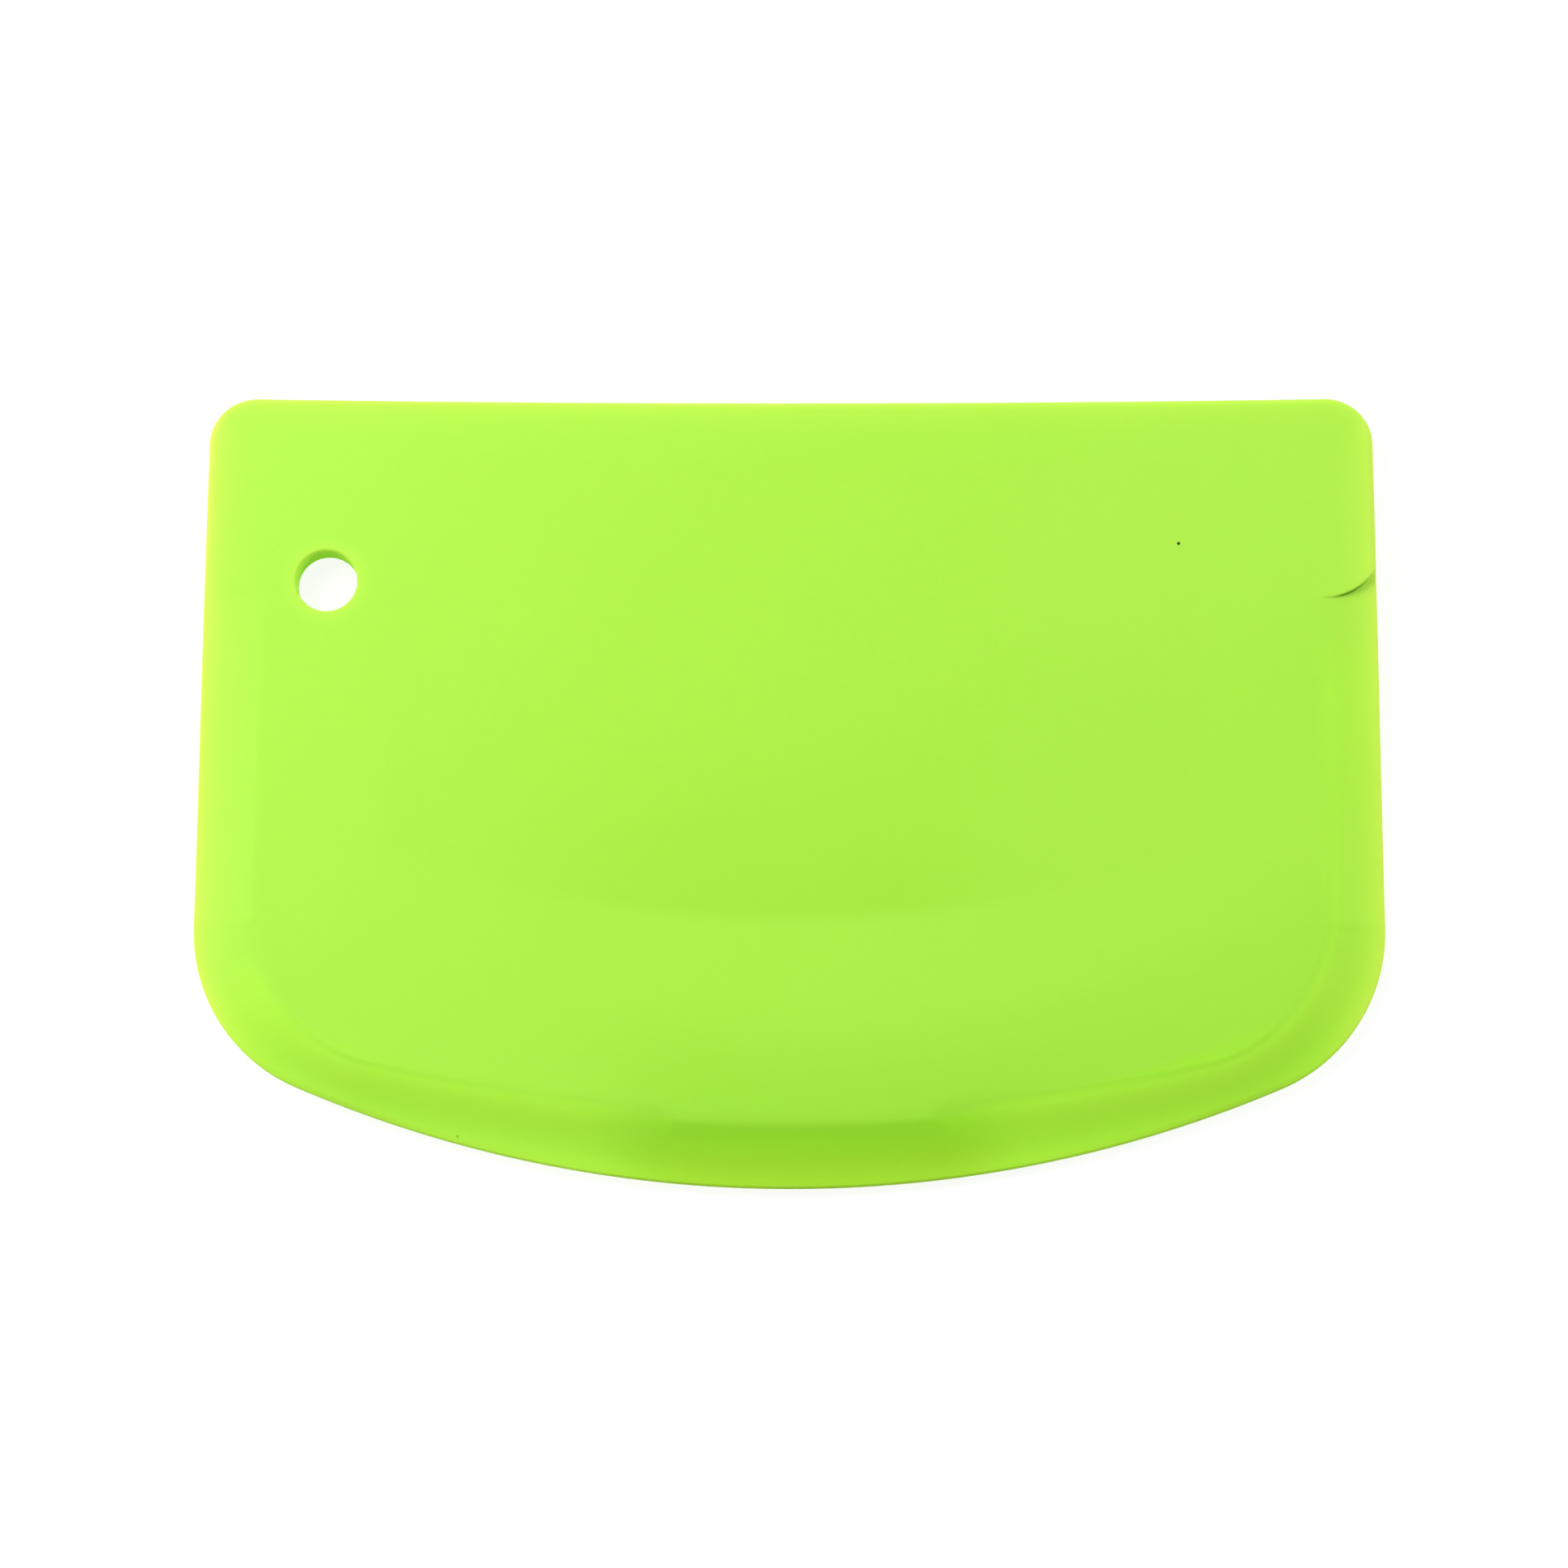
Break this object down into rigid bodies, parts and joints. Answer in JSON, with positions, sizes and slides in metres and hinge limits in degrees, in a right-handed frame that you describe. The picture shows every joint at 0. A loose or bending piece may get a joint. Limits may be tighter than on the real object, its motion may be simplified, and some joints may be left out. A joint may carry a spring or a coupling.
{
  "type": "bowl scraper",
  "caption": "Soft lime green silicone bowl scraper with a bowed, bevelled working edge and a hanging hole.",
  "frame": {"origin": "middle of the footprint, on the plain back face that the scraper lies on", "axes": "+X along the width, to the right as the bevelled front is seen, +Y towards the straight top edge, +Z out of the bevelled front"},
  "size_m": [0.14, 0.0945, 0.0035],
  "materials": {
    "lime_silicone": "matte",
    "white_plastic": "matte"
  },
  "bodies": {
    "root": {"silicone_body": "lime_silicone", "stiffener_core": "white_plastic"}
  },
  "joints": []
}
